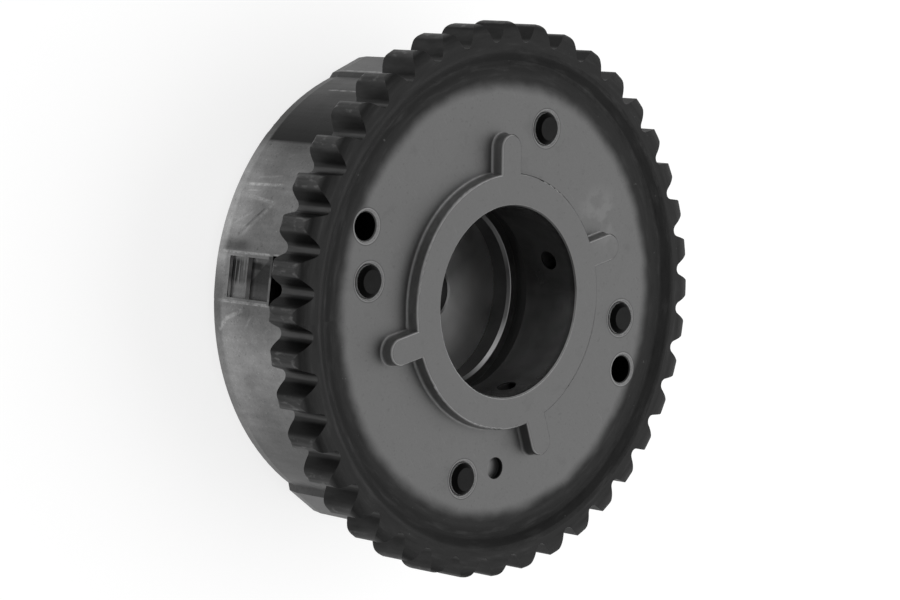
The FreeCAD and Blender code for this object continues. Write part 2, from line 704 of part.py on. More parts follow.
def rotor():
    """The hub with its four vanes, the camshaft's socket and the oil feeds across its face."""
    hub = turned("rotor_hub", [
        ("centre_hole_radius + centre_hole_bevel", f"{COVER_FACE} + nose_recess"),
        (NOSE_RADIUS, f"{COVER_FACE} + nose_recess"),
        (NOSE_RADIUS, ROTOR_REAR),
        (HUB_RADIUS, ROTOR_REAR),
        (HUB_RADIUS, ROTOR_FRONT),
        (RELIEF_RADIUS, ROTOR_FRONT),
        (RELIEF_RADIUS, f"{ROTOR_FRONT} - relief_depth"),
        (f"{SPIGOT_RADIUS} + spigot_bevel", f"{ROTOR_FRONT} - relief_depth"),
        (SPIGOT_RADIUS, f"{ROTOR_FRONT} - relief_depth - spigot_bevel"),
        (SPIGOT_RADIUS, f"{ROTOR_FRONT} - socket_floor"),
        ("centre_hole_radius + centre_hole_bevel", f"{ROTOR_FRONT} - socket_floor"),
        ("centre_hole_radius", f"{ROTOR_FRONT} - socket_floor - centre_hole_bevel"),
        ("centre_hole_radius", f"{COVER_FACE} + nose_recess + centre_hole_bevel"),
    ])
    blades = [sector(f"vane_{number}", VANE_RADIUS, ROTOR_HEIGHT, ROTOR_REAR,
                     vane_start(number), vane_span(number)) for number in POSITIONS]
    middle = cylinder("vane_middle", f"({RELIEF_RADIUS} + {HUB_RADIUS}) / 2", f"{ROTOR_HEIGHT} + 2 * {PAST}",
                      f"{ROTOR_REAR} - {PAST}")
    blades = without("vanes", joined("vane_slices", *blades), middle)
    cuts = []
    for number in POSITIONS:
        feed_angle = f"({vane_start(number)} + {vane_span(number)} + feed_offset)"
        cuts.append(seal_slot(f"vane_slot_{number}", VANE_SLOT_FLOOR, f"{CHAMBER_RADIUS} + {PAST}",
                              vane_seal_angle(number)))
        cuts.append(radial_box(f"feed_{number}", f"{RELIEF_RADIUS} - {PAST}", f"{HUB_RADIUS} + {PAST}",
                               "feed_width", f"{ROTOR_FRONT} - feed_depth", f"feed_depth + {PAST}",
                               feed_angle))
    cuts.append(cylinder("pin_way", SLEEVE_RADIUS, f"{ROTOR_HEIGHT} + 2 * {PAST}", f"{ROTOR_REAR} - {PAST}",
                         PIN_CIRCLE, PIN_ANGLE))
    return without("rotor_solid", joined("rotor_blank", hub, blades), *cuts)


# Seals and leaf springs
def strip(name, inner, outer, angle):
    """A seal strip in its slot."""
    return radial_box(name, inner, outer, "seal_width", f"{CHAMBER_FLOOR} + seal_end_gap",
                      "chamber_depth - 2 * seal_end_gap", angle)


def leaf(name, floor, inwards, angle):
    """A bowed leaf spring between a slot's floor and its strip, its bow towards the strip."""
    length, thick, width = size("leaf_length"), size("leaf_thickness"), size("seal_width")
    rise = size("leaf_room") - thick - 2 * size("leaf_slack")
    radius = (length ** 2 / 4 + rise ** 2) / (2 * rise)
    half = math.asin(length / 2 / radius)

    def bow(offset):
        reach = radius + offset
        ends = [Vector(reach * math.cos(turn) - radius, -width / 2, reach * math.sin(turn))
                for turn in (-half, 0, half)]
        return Part.Arc(*ends).toShape()

    low, high = bow(0), bow(thick)
    sides = [Part.LineSegment(low.valueAt(end), high.valueAt(end)).toShape()
             for end in (low.FirstParameter, low.LastParameter)]
    outline = Part.Wire(Part.sortEdges([low, high] + sides)[0])
    thing = feature(name, Part.Face(outline).extrude(Vector(0, width, 0)))
    # The bow's foot stands a hair off the slot's floor
    lift = rise + size("leaf_slack")
    middle = value(f"{CHAMBER_FLOOR} + chamber_depth / 2")
    place = polar(floor - lift if inwards else floor + lift, angle, middle)
    thing.Placement = FreeCAD.Placement(place, Rotation(Vector(0, 0, 1), angle + (180 if inwards else 0)))
    return thing


# Lock pin
def turned_at_pin(name, outline):
    """A body turned about the axis and carried out to the lock pin's place."""
    body = turned(name, outline)
    body.setExpression("Placement.Base.x", bound(f"{PIN_CIRCLE} * cos({PIN_ANGLE})"))
    body.setExpression("Placement.Base.y", bound(f"{PIN_CIRCLE} * sin({PIN_ANGLE})"))
    return body


def lock_pin():
    return turned_at_pin("pin", [
        ("0", PIN_ROOF),
        (PIN_BORE, PIN_ROOF),
        (PIN_BORE, PIN_REAR),
        ("pin_radius", PIN_REAR),
        ("pin_radius", f"{ROTOR_FRONT} - pin_point_bevel"),
        ("pin_radius - pin_point_bevel", ROTOR_FRONT),
        ("0", ROTOR_FRONT),
    ])


def lock_pin_sleeve():
    return turned_at_pin("sleeve", [
        ("pin_radius + pin_fit", CAP_TOP),
        (SLEEVE_RADIUS, CAP_TOP),
        (SLEEVE_RADIUS, ROTOR_FRONT),
        ("pin_radius + pin_fit", ROTOR_FRONT),
    ])


def lock_pin_cap():
    return turned_at_pin("cap", [
        ("vent_radius / 2", ROTOR_REAR),
        (SLEEVE_RADIUS, ROTOR_REAR),
        (SLEEVE_RADIUS, CAP_TOP),
        ("cap_stem_radius", CAP_TOP),
        ("cap_stem_radius", f"{CAP_TOP} + cap_stem_height"),
        ("vent_radius / 2", f"{CAP_TOP} + cap_stem_height"),
    ])


def lock_pin_seat():
    return turned_at_pin("seat", [
        (SEAT_BORE, PLATE_REAR),
        (SEAT_RADIUS, PLATE_REAR),
        (SEAT_RADIUS, f"{PLATE_REAR} + {SEAT_DEPTH}"),
        (SEAT_BORE, f"{PLATE_REAR} + {SEAT_DEPTH}"),
    ])


def lock_pin_spring():
    """A coil spring from the cap up into the pin."""
    wire = size("spring_wire")
    low, high = value(CAP_TOP) + wire / 2, value(PIN_ROOF) - wire / 2
    coil = value(PIN_BORE) - wire / 2 - size("spring_side_gap")
    height = high - low
    path = Part.makeHelix(height / size("spring_turns"), height, coil)
    ring = Part.Wire(Part.makeCircle(wire / 2, Vector(coil, 0, 0), Vector(0, 1, 0)))
    solid = Part.Wire(path).makePipeShell([ring], True, True)
    thing = feature("spring", solid)
    thing.Placement.Base = polar(value(PIN_CIRCLE), value(PIN_ANGLE), low)
    return thing


# Bolts and dowels
def bolt(number):
    """A flanged screw from the far side, its point through the plate."""
    body = turned(f"bolt_{number}", [
        ("0", "0"),
        ("bolt_head_radius - bolt_head_bevel", "0"),
        ("bolt_head_radius", "bolt_head_bevel"),
        ("bolt_head_radius", "bolt_head_height - bolt_flange_height"),
        ("bolt_flange_radius", "bolt_head_height - bolt_flange_height + bolt_head_bevel"),
        ("bolt_flange_radius", "bolt_head_height"),
        ("bolt_radius", "bolt_head_height"),
        ("bolt_radius", f"{DISH_FACE} + bolt_proud - bolt_point_bevel"),
        ("bolt_radius - bolt_point_bevel", f"{DISH_FACE} + bolt_proud"),
        ("0", f"{DISH_FACE} + bolt_proud"),
    ])
    centre_x = f"{BOLT_CIRCLE} * cos(bolt_angle_{number})"
    centre_y = f"{BOLT_CIRCLE} * sin(bolt_angle_{number})"
    body.setExpression("Placement.Base.x", bound(centre_x))
    body.setExpression("Placement.Base.y", bound(centre_y))
    depth = {"Height": f"socket_depth + {PAST}"}
    cuts = [shape_of("Part::Cylinder", f"socket_{number}", {"Radius": "socket_radius", **depth},
                     centre_x, centre_y, f"-{PAST}")]
    for point in range(6):
        angle = f"{60 * point}"
        cuts.append(shape_of("Part::Cylinder", f"socket_point_{number}_{point}",
                             {"Radius": "socket_lobe_radius", **depth},
                             f"{centre_x} + socket_radius * cos({angle})",
                             f"{centre_y} + socket_radius * sin({angle})", f"-{PAST}"))
    return without(f"bolt_solid_{number}", body, *cuts)


def group(name, pieces):
    """Like fasteners kept as separate solids of one sub-part."""
    doc.recompute()
    return feature(name, Part.makeCompound([piece.Shape.copy() for piece in pieces]))


def dowel(number, angle):
    return cylinder(f"dowel_{number}", "dowel_radius", "dowel_length",
                    f"{PLATE_REAR} - dowel_length + dowel_rise", DOWEL_CIRCLE, angle)


# Assembly
nodes = {
    "sprocket_plate": sprocket_plate(),
    "stator_housing": stator_housing(),
    "cover_plate": cover_plate(),
    "rotor": rotor(),
    "lock_pin": lock_pin(),
    "lock_pin_sleeve": lock_pin_sleeve(),
    "lock_pin_cap": lock_pin_cap(),
    "lock_pin_seat": lock_pin_seat(),
    "lock_pin_spring": lock_pin_spring(),
    "bolts": group("bolt_group", [bolt(number) for number in POSITIONS]),
    "dowel_pins": group("dowel_group", [dowel(1, "dowel_angle"), dowel(2, "(dowel_angle + 180)")]),
}
for number in POSITIONS:
    tip_angle, lobe_angle = vane_seal_angle(number), lobe_seal_angle(number)
    tip_face, hub_face = f"({CHAMBER_RADIUS} - seal_gap)", f"({HUB_RADIUS} + seal_gap)"
    nodes[f"vane_seal_{number}"] = strip(f"vane_strip_{number}", f"{tip_face} - seal_height", tip_face,
                                         tip_angle)
    nodes[f"lobe_seal_{number}"] = strip(f"lobe_strip_{number}", hub_face, f"{hub_face} + seal_height",
                                         lobe_angle)
    nodes[f"vane_seal_spring_{number}"] = leaf(f"vane_leaf_{number}", value(VANE_SLOT_FLOOR), False,
                                               value(tip_angle))
    nodes[f"lobe_seal_spring_{number}"] = leaf(f"lobe_leaf_{number}", value(LOBE_SLOT_FLOOR), True,
                                               value(lobe_angle))

# Checks and export
doc.recompute()
for thing in doc.Objects:
    if "Invalid" in thing.State or "Error" in thing.State:
        raise RuntimeError(f"{thing.Name} failed: {thing.State}")
for name, thing in nodes.items():
    thing.Label = name
    if thing.Shape.isNull() or not thing.Shape.isValid():
        raise RuntimeError(f"{name} has no valid shape")
os.makedirs("parts", exist_ok=True)
for name, thing in nodes.items():
    thing.Shape.exportStep(f"parts/{name}.step")
    box = thing.Shape.BoundBox
    print(f"{name}: {len(thing.Shape.Solids)} solid(s), {thing.Shape.Volume:.1f} mm3,"
          f" z {box.ZMin:.2f} to {box.ZMax:.2f}")
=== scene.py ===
"""The looks of a cam phaser: finishes for its CAD nodes, a copy of the lock pin spring on the rotor, and a
studio.
"""
import json
import math

import bpy
from mathutils import Matrix, Vector


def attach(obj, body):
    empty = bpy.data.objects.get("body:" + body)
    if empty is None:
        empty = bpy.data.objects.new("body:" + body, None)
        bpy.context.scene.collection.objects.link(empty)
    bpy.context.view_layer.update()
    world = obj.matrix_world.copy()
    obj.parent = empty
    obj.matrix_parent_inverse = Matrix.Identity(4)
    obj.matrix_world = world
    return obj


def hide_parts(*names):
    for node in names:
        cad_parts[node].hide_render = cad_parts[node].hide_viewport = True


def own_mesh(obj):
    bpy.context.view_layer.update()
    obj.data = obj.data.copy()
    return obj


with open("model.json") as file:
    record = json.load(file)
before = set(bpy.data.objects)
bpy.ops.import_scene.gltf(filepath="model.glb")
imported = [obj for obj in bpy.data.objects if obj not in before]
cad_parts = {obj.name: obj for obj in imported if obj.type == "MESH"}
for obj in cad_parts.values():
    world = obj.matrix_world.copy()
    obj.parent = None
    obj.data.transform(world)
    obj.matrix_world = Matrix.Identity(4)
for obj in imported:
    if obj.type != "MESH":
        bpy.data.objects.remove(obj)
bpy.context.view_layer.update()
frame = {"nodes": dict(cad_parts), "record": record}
nodes = frame["nodes"]
MM = 0.001


# Node tree helpers, which work in millimetres and degrees in the part's own frame
class Tree:
    """A short way to wire a material's nodes."""

    def __init__(self, name):
        self.material = bpy.data.materials.new(name)
        self.material.use_nodes = True
        self.tree = self.material.node_tree
        self.tree.nodes.clear()
        self.shader = self.add("ShaderNodeBsdfPrincipled")
        output = self.add("ShaderNodeOutputMaterial")
        self.tree.links.new(self.shader.outputs[0], output.inputs["Surface"])
        place = self.add("ShaderNodeTexCoord").outputs["Object"]
        scaled = self.add("ShaderNodeVectorMath")
        scaled.operation = "SCALE"
        self.feed(scaled.inputs[0], place)
        scaled.inputs["Scale"].default_value = 1 / MM
        self.place = scaled.outputs[0]
        parts = self.add("ShaderNodeSeparateXYZ", Vector=self.place)
        self.x, self.y, self.z = parts.outputs
        self.radius = self.math("SQRT", self.plus(self.times(self.x, self.x), self.times(self.y, self.y)))
        self.turn = self.math("ARCTAN2", self.y, self.x)
        self.degrees = self.math("FLOORED_MODULO", self.math("DEGREES", self.turn), 360.0)
        normal = self.add("ShaderNodeNewGeometry").outputs["Normal"]
        self.normal = self.add("ShaderNodeSeparateXYZ", Vector=self.local(normal)).outputs
        self.facing_up = self.normal[2]
        round_way = self.minus(self.times(self.x, self.normal[1]), self.times(self.y, self.normal[0]))
        self.facing_round = self.math("ABSOLUTE", self.math("DIVIDE", round_way, self.radius))

    def local(self, vector):
        turn = self.add("ShaderNodeVectorTransform", Vector=vector)
        turn.vector_type = "NORMAL"
        turn.convert_from = "WORLD"
        turn.convert_to = "OBJECT"
        return turn.outputs[0]

    def add(self, kind, **inputs):
        node = self.tree.nodes.new(kind)
        for key, value in inputs.items():
            self.feed(node.inputs[key], value)
        return node

    def feed(self, socket, value):
        if isinstance(value, bpy.types.NodeSocket):
            self.tree.links.new(value, socket)
        else:
            socket.default_value = value

    def math(self, operation, *values):
        node = self.add("ShaderNodeMath")
        node.operation = operation
        for socket, value in zip(node.inputs, values):
            self.feed(socket, value)
        return node.outputs[0]

    def times(self, *factors):
        result = factors[0]
        for factor in factors[1:]:
            result = self.math("MULTIPLY", result, factor)
        return result

    def plus(self, *terms):
        result = terms[0]
        for term in terms[1:]:
            result = self.math("ADD", result, term)
        return result

    def minus(self, first, second):
        return self.math("SUBTRACT", first, second)

    def flip(self, value):
        return self.minus(1.0, value)

    def less(self, mask, share):
        """1 outside the mask, lower by this share inside it."""
        return self.flip(self.times(mask, share))

    def step(self, value, low, high):
        """0 below low, 1 above high, smooth between."""
        node = self.add("ShaderNodeMapRange", Value=value)
        node.interpolation_type = "SMOOTHSTEP"
        node.inputs["From Min"].default_value = low
        node.inputs["From Max"].default_value = high
        return node.outputs[0]

    def below(self, value, low, high):
        """1 below low, 0 above high, smooth between."""
        return self.flip(self.step(value, low, high))

    def within(self, value, low, high, soft):
        """1 between low and high, with soft edges this wide."""
        rise = self.step(value, low - soft / 2, low + soft / 2)
        fall = self.step(value, high - soft / 2, high + soft / 2)
        return self.minus(rise, fall)

    def ramp(self, value, stops):
        """A number that follows (place, value) stops."""
        low, high = stops[0][0], stops[-1][0]
        spread = self.add("ShaderNodeMapRange", Value=value)
        spread.inputs["From Min"].default_value = low
        spread.inputs["From Max"].default_value = high
        node = self.add("ShaderNodeValToRGB", Fac=spread.outputs[0])
        points = node.color_ramp.elements
        while len(points) < len(stops):
            points.new(0.5)
        for point, (place, level) in zip(points, stops):
            point.position = (place - low) / (high - low)
            point.color = (level, level, level, 1)
        return node.outputs[0]

    def noise(self, scale, detail=3.0, vector=None, roughness=0.5):
        node = self.add("ShaderNodeTexNoise", Vector=vector or self.place, Scale=scale, Detail=detail,
                        Roughness=roughness)
        return node.outputs[0]

    def vector(self, x=0.0, y=0.0, z=0.0):
        return self.add("ShaderNodeCombineXYZ", X=x, Y=y, Z=z).outputs[0]

    def streaks(self, per_radian, per_mm, detail=3.0):
        """Noise drawn out along the axis: how fine it is round the axis, and along it."""
        place = self.vector(self.times(self.turn, per_radian), z=self.times(self.z, per_mm))
        return self.noise(1.0, detail, place)

    def rings(self, per_mm=3.8):
        """Fine turning marks, on flat and on round faces."""
        place = self.vector(self.times(self.radius, per_mm), z=self.times(self.z, per_mm))
        return self.noise(1.0, 3.0, place)

    def mix(self, factor, first, second):
        node = self.add("ShaderNodeMix")
        node.data_type = "RGBA"
        sockets = {s.identifier: s for s in node.inputs}
        self.feed(sockets["Factor_Float"], factor)
        self.feed(sockets["A_Color"], first)
        self.feed(sockets["B_Color"], second)
        return next(s for s in node.outputs if s.identifier == "Result_Color")

    def tint(self, colour, level):
        """A colour made lighter or darker by a number."""
        node = self.add("ShaderNodeVectorMath")
        node.operation = "SCALE"
        self.feed(node.inputs[0], colour)
        self.feed(node.inputs["Scale"], level)
        return node.outputs[0]

    def blend(self, factor, low, high):
        """A number that goes from low to high with the factor."""
        node = self.add("ShaderNodeMapRange", Value=factor)
        self.feed(node.inputs["To Min"], low)
        self.feed(node.inputs["To Max"], high)
        return node.outputs[0]

    def gap_to(self, holes):
        """How far a point is outside the nearest of these (circle, angle, radius) upright holes."""
        nearest = None
        for circle, angle, radius in holes:
            way = math.radians(angle)
            node = self.add("ShaderNodeVectorMath")
            node.operation = "DISTANCE"
            self.feed(node.inputs[0], self.vector(self.x, self.y))
            self.feed(node.inputs[1], (circle * math.cos(way), circle * math.sin(way), 0.0))
            gap = self.minus(node.outputs["Value"], radius)
            nearest = gap if nearest is None else self.math("MINIMUM", nearest, gap)
        return nearest

    def stroke(self, start, end, width):
        """A line on the round outside between two (degrees, height) points."""
        run = (end[0] - start[0]) * MM_PER_DEGREE
        rise = end[1] - start[1]
        length = math.hypot(run, rise)
        across = self.times(self.minus(self.degrees, start[0]), MM_PER_DEGREE)
        up = self.minus(self.z, start[1])
        along = self.plus(self.times(across, run / length), self.times(up, rise / length))
        off = self.minus(self.times(across, rise / length), self.times(up, run / length))
        thin = self.below(self.math("ABSOLUTE", off), width * 0.25, width)
        return self.times(thin, self.within(along, 0.0, length, min(1.0, length / 2)))

    def bump(self, height, strength, distance):
        node = self.add("ShaderNodeBump", Height=height, Strength=strength, Distance=distance * MM)
        return node.outputs[0]

    def finish(self, colour, roughness, normal=None, metallic=1.0):
        self.feed(self.shader.inputs["Base Color"], colour)
        self.feed(self.shader.inputs["Roughness"], roughness)
        self.feed(self.shader.inputs["Metallic"], metallic)
        if normal is not None:
            self.feed(self.shader.inputs["Normal"], normal)
        return self.material


def grey(level):
    return (level, level, level, 1.0)


# Places on the part, in millimetres and degrees; a hole is (circle, angle, radius)
TIP_RADIUS = 52.35
ROOT_RADIUS = 48.5
DISH_FACE = 35.1
COLLAR_TOP = 37.8
COLLAR_RADIUS = 24.1
PAST_EARS = 33.5
JOURNAL_RADIUS = 18.0
BOLT_HOLES = [(34.1, angle, 3.0) for angle in (68.4, 169.2, 253.4, 349.4)]
DOWEL_HOLES = [(37.85, angle, 2.6) for angle in (154.3, 334.3)]
MARK_HOLE = (31.7, 267.8, 2.08)
MARK_FLOOR = 33.5
BOLT_HEAD_TOP = 3.5
HOUSING_RADIUS = 43.9
MM_PER_DEGREE = math.radians(HOUSING_RADIUS)
LIP_TOP = 6.1
SLOT_START = 166.3
SLOT_END = 178.1
FRONT_POCKET = 41.6
REAR_POCKET = 42.6
HUB_RADIUS = 25.0
SOCKET_FLOOR = 16.3


# Sprocket plate
def ground_face(t, clouds, grain):
    """Pale sintered steel with scuffs, stains and a worn patch beside one ear."""
    rubbed_at = (30.5, 27.0, 0.0)
    pale = t.mix(clouds, grey(0.096), grey(0.118))
    pale = t.mix(t.times(grain, 0.30), pale, grey(0.062))
    speckle = t.step(t.noise(1.3, 2), 0.64, 0.74)
    pale = t.mix(t.times(speckle, 0.22), pale, grey(0.05))
    scuffs = t.noise(1.0, 3, t.vector(t.plus(t.times(t.x, 1.6), t.y), t.times(t.y, 0.3)), roughness=0.6)
    pale = t.mix(t.times(t.step(scuffs, 0.60, 0.74), 0.15), pale, grey(0.16))
    stains = t.step(t.noise(0.30, 5, roughness=0.65), 0.56, 0.70)
    pale = t.mix(t.times(stains, 0.22), pale, grey(0.07))
    worn_patch_and_rim_highlight = t.times(t.below(t.gap_to([rubbed_at]), 2.0, 8.0), t.step(t.noise(0.35, 4), 0.40, 0.60))
    return t.mix(t.times(worn_patch_and_rim_highlight, 0.45), pale, grey(0.15))


def hardened_rim(t, clouds, grain):
    """Heat black with sweeps and chips, painted shade in the dish corner that fades out towards the right,
    painted light in the hollow on the right, and painted light and shade on the rounded crown.
    """
    dark = t.mix(clouds, grey(0.011), grey(0.021))
    dark = t.mix(t.times(grain, 0.4), dark, grey(0.008))
    # Painted shade: the dish corner is darkened, most on the left, fading out towards the right
    corner = t.times(t.within(t.radius, 43.0, 46.4, 1.4), t.blend(t.step(t.x, 0.0, 34.0), 0.55, 0.0))
    dark = t.mix(corner, dark, grey(0.004))
    sweeps = t.noise(1.0, 4, t.vector(t.times(t.radius, 0.9), t.times(t.turn, 6.0)), roughness=0.6)
    dark = t.mix(t.times(t.step(sweeps, 0.50, 0.72), 0.45), dark, grey(0.032))
    dark = t.mix(t.times(t.below(sweeps, 0.30, 0.48), 0.40), dark, grey(0.005))
    chips = t.step(t.noise(0.9, 2), 0.74, 0.78)
    dark = t.mix(t.times(chips, 0.5), dark, grey(0.07))
    # Painted light: the hollow is lightened on the right
    hollow = t.times(t.within(t.radius, 44.6, 46.8, 1.0), t.step(t.x, 5.0, 30.0))
    dark = t.tint(dark, t.blend(hollow, 1.0, 1.5))
    # The rounded crown, with painted light on the left where it faces away from the lamp and painted shade
    # where it would catch the light
    toward_light = t.plus(t.times(t.normal[0], 0.92), t.times(t.normal[1], -0.39))
    crown_tone = t.blend(t.step(toward_light, -0.30, 0.20), 3.1, 0.30)
    leaning = t.times(t.below(t.facing_up, 0.55, 0.985),
                      t.step(t.radius, ROOT_RADIUS - 0.3, ROOT_RADIUS + 0.7))
    return t.tint(dark, t.blend(leaning, 1.08, crown_tone))


def tooth_flanks(t, colour):
    """Flanks nearly black, with painted light on flanks that face left, painted shade on faces that point
    down, worn tips and lighter gap floors.
    """
    upright = t.times(t.below(t.facing_up, 0.25, 0.55),
                      t.step(t.radius, ROOT_RADIUS - 0.5, ROOT_RADIUS - 0.2))
    streaks = t.streaks(80.0, 0.22)
    worn = t.step(t.streaks(60.0, 0.5), 0.52, 0.72)
    tips = t.plus(t.blend(streaks, 0.020, 0.070), t.times(worn, 0.060))
    # Painted light: flanks facing left (-x) are lighter
    by_side = t.ramp(t.normal[0], [(-1.0, 0.034), (-0.94, 0.026), (-0.8, 0.007), (-0.6, 0.0), (0.4, 0.002),
                                   (1.0, 0.008)])
    sides = t.times(t.blend(streaks, 0.35, 1.65), by_side)
    floors = t.mix(t.step(t.facing_round, 0.28, 0.55), t.blend(streaks, 0.035, 0.100),
                   t.blend(streaks, 0.018, 0.046))
    metal = t.mix(t.below(t.radius, ROOT_RADIUS + 0.3, ROOT_RADIUS + 1.0), sides, floors)
    metal = t.mix(t.step(t.radius, TIP_RADIUS - 0.65, TIP_RADIUS - 0.25), metal, tips)
    # Painted shade: faces that point down (-y) are darkened
    low_side = t.step(t.times(t.normal[1], -1.0), 0.70, 0.98)
    return t.mix(upright, colour, t.tint(metal, t.blend(low_side, 1.0, 0.32)))


def bore_tone(t):
    """The bore, lighter at its mouth and towards -y: painted shade darkens it deeper in, and painted light
    lightens its -y side.
    """
    side = t.ramp(t.y, [(-18, 1.0), (-9, 1.0), (-3, 0.75), (2, 0.32), (9, 0.25), (14, 0.42), (18, 0.55)])
    mouth = t.ramp(t.z, [(22.0, 0.14), (26.0, 0.20), (28.0, 0.30), (30.0, 0.45), (34.0, 0.80), (36.2, 1.0),
                         (36.9, 0.80), (COLLAR_TOP, 0.50)])
    return t.times(t.blend(t.noise(0.25, 4), 0.30, 0.76), side, mouth)


def collar_walls(t, colour):
    """Collar and ear walls: those facing left lightened by azimuth as painted light, with painted shade at
    their feet and a painted highlight on their top edge; those facing right made near black as painted
    shade.
    """
    beside = t.times(t.within(t.radius, COLLAR_RADIUS - 0.4, PAST_EARS, 0.2),
                     t.step(t.z, DISH_FACE - 0.1, DISH_FACE), t.below(t.facing_up, 0.86, 0.985))
    brushed = t.streaks(14.0, 1.2)
    foot = t.step(t.facing_up, 0.15, 0.45)
    # Painted light: the tone of walls facing left follows the azimuth, lowered at their feet as painted
    # shade
    around = t.ramp(t.degrees, [(60, 0.36), (95, 0.36), (125, 0.46), (155, 0.27), (185, 0.33), (215, 0.24),
                                (250, 0.32), (285, 0.13)])
    shaded = t.times(t.blend(brushed, 0.6, 1.3), around, t.blend(foot, 1.0, 0.75))
    # Painted shade: walls that face right are made near black
    right = t.step(t.normal[0], -0.05, 0.25)
    colour = t.mix(beside, colour, t.blend(right, shaded, 0.035))
    # Painted highlight on the top edge of walls that face left
    edge = t.times(t.step(t.z, COLLAR_TOP - 0.42, COLLAR_TOP - 0.30),
                   t.within(t.facing_up, 0.50, 0.92, 0.1),
                   t.within(t.radius, COLLAR_RADIUS - 0.6, PAST_EARS, 0.2), t.flip(right))
    return t.mix(t.times(edge, t.blend(brushed, 0.3, 1.0)), colour, grey(0.40))


def hole_mouths(t, colour, grain):
    """Bolt and dowel holes with a painted highlight on each chamfer and on a light ring round it, a thin
    dark line past that, and painted shade that makes them black inside; and the shallow mark hole, with
    painted light on its floor and low walls and its upper walls dark.
    """
    # Painted highlight: the hole chamfers are lightened
    mouths = t.times(t.within(t.z, DISH_FACE - 0.32, DISH_FACE - 0.02, 0.06),
                     t.within(t.radius, 29.5, 42.0, 0.2), t.within(t.facing_up, 0.4, 0.95, 0.1))
    colour = t.mix(mouths, colour, t.blend(grain, 0.22, 0.55))
    past_edge = t.gap_to(BOLT_HOLES + DOWEL_HOLES)
    on_face = t.times(t.within(t.z, DISH_FACE - 0.06, DISH_FACE + 0.2, 0.02),
                      t.step(t.facing_up, 0.9, 0.99))
    # Painted highlight: a light ring past each hole's edge, then a thin dark line
    colour = t.mix(t.times(on_face, t.within(past_edge, 0.1, 0.72, 0.15), 0.75), colour, grey(0.19))
    colour = t.mix(t.times(on_face, t.within(past_edge, 0.78, 0.92, 0.12), 0.65), colour, grey(0.03))
    # Painted shade: the hole walls below the face are made black
    sunk = t.times(t.below(t.z, DISH_FACE - 0.75, DISH_FACE - 0.35),
                   t.within(t.radius, JOURNAL_RADIUS + 0.3, 42.5, 0.1), t.below(t.facing_up, 0.3, 0.8))
    colour = t.mix(sunk, colour, grey(0.003))
    # Painted light on the mark hole's floor and low walls
    marked = t.times(t.below(t.gap_to([MARK_HOLE]), 0.05, 0.15),
                     t.below(t.z, DISH_FACE - 0.5, DISH_FACE - 0.2))
    mark_wall = t.blend(t.step(t.z, MARK_FLOOR + 0.4, MARK_FLOOR + 0.7), 0.10, 0.015)
    return t.mix(marked, colour, t.blend(t.step(t.facing_up, 0.3, 0.8), mark_wall, 0.15))


def sprocket_steel():
    """Grey sintered steel, blackened by heat round the hardened teeth, with painted shade that makes it
    dark in its holes and painted light and shade in the bore.
    """
    t = Tree("sprocket_steel")
    clouds = t.noise(0.09, 4)
    grain = t.noise(2.6, 3)
    wobble = t.times(t.minus(t.noise(0.16, 3), 0.5), 1.8)
    burnt = t.step(t.plus(t.radius, wobble), 38.9, 42.0)
    journal = t.below(t.radius, JOURNAL_RADIUS + 0.26, JOURNAL_RADIUS + 0.32)
    colour = t.mix(burnt, ground_face(t, clouds, grain), hardened_rim(t, clouds, grain))
    colour = tooth_flanks(t, colour)
    colour = t.mix(journal, colour, bore_tone(t))
    colour = collar_walls(t, colour)
    colour = hole_mouths(t, colour, grain)
    rings = t.noise(1.0, 2, t.vector(t.times(t.radius, 2.4)))
    height = t.plus(t.times(grain, 0.7), t.times(rings, 0.3))
    rough = t.blend(burnt, t.blend(clouds, 0.42, 0.55), t.blend(clouds, 0.48, 0.62))
    rough = t.blend(journal, rough, t.blend(clouds, 0.20, 0.32))
    return t.finish(colour, rough, t.bump(height, 0.35, 0.05), 0.9)


# Housing
def housing_tone(t):
    """Tone round the outside by azimuth, for the upper wall, the lower wall and the lip: its lighter and
    darker stretches are painted light and shade, and the dark band from 127° to 136° is a painted
    reflection.
    """
    upper = t.ramp(t.degrees, [(60, 0.075), (106, 0.060), (108, 0.042), (118, 0.027), (127, 0.011),
                               (133, 0.0068), (136, 0.0060), (137, 0.085), (150, 0.175), (157, 0.160),
                               (163, 0.145), (180, 0.125), (192, 0.24), (203, 0.165), (210, 0.12),
                               (218, 0.082), (226, 0.056), (300, 0.06)])
    lower = t.ramp(t.degrees, [(60, 0.09), (98, 0.066), (106, 0.078), (108, 0.052), (113, 0.036),
                               (118, 0.037), (127, 0.0158), (133, 0.0082), (136, 0.0072), (137, 0.135),
                               (150, 0.28), (158, 0.28), (166, 0.23), (175, 0.18), (188, 0.31), (208, 0.20),
                               (218, 0.10), (227, 0.068), (300, 0.07)])
    lip = t.ramp(t.degrees, [(60, 0.06), (95, 0.045), (104, 0.034), (107, 0.042), (113, 0.034),
                             (120, 0.032), (127, 0.028), (131, 0.034), (136, 0.09), (138, 0.17),
                             (146, 0.30), (155, 0.36), (168, 0.36), (174, 0.16), (180, 0.12),
                             (190, 0.21), (212, 0.155), (220, 0.10), (228, 0.055), (300, 0.055)])
    wall = t.mix(t.step(t.z, 7.5, 13.5), lower, upper)
    return t.mix(t.below(t.z, LIP_TOP - 0.5, LIP_TOP + 0.5), wall, lip)


